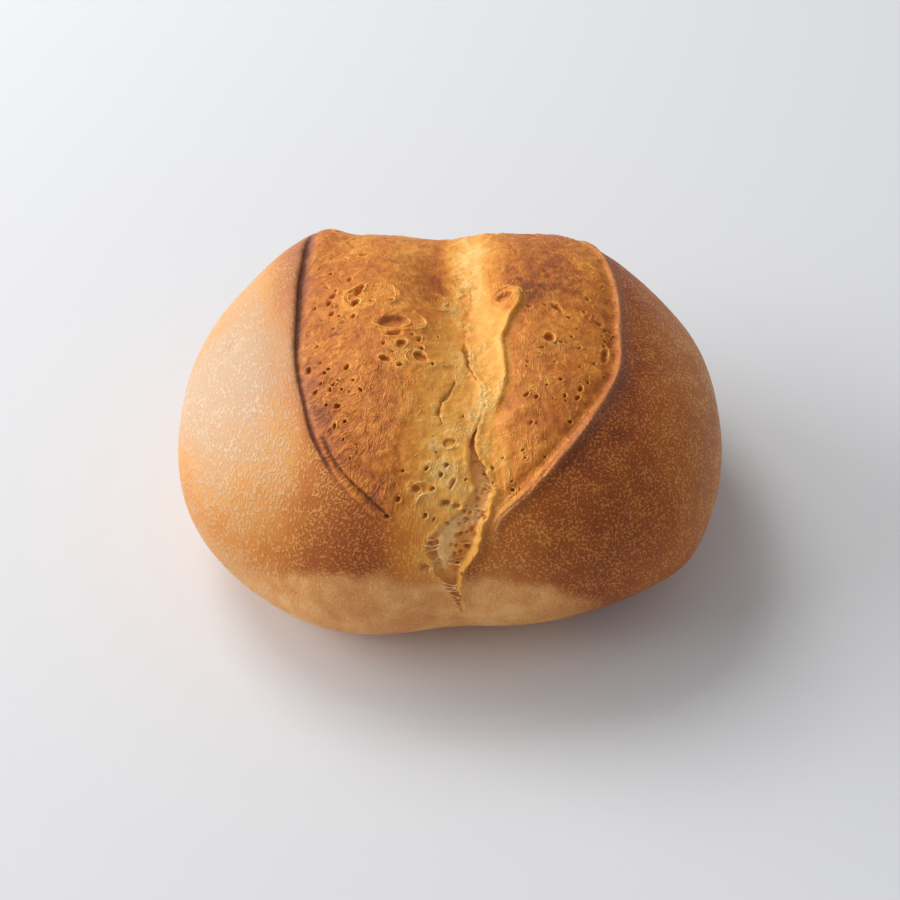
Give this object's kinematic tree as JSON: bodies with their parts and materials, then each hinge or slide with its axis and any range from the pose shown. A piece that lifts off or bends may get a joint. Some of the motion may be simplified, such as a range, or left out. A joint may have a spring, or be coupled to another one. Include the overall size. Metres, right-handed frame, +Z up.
{
  "type": "bread loaf",
  "caption": "Round butter bread loaf with a wide score burst open along the top, a crisp ear on the left and a torn seam down the front.",
  "frame": {"origin": "centre of the flat underside, on the surface the loaf stands on", "axes": "+Z up, +X to the loaf's right along its longest side, front (where the seam is torn open) towards -Y"},
  "size_m": [0.217, 0.194, 0.101],
  "materials": {
    "crust": "baked crust, satin, golden to red brown, with a paler torn bloom and crumb"
  },
  "bodies": {
    "root": {"loaf": "crust"}
  },
  "joints": []
}
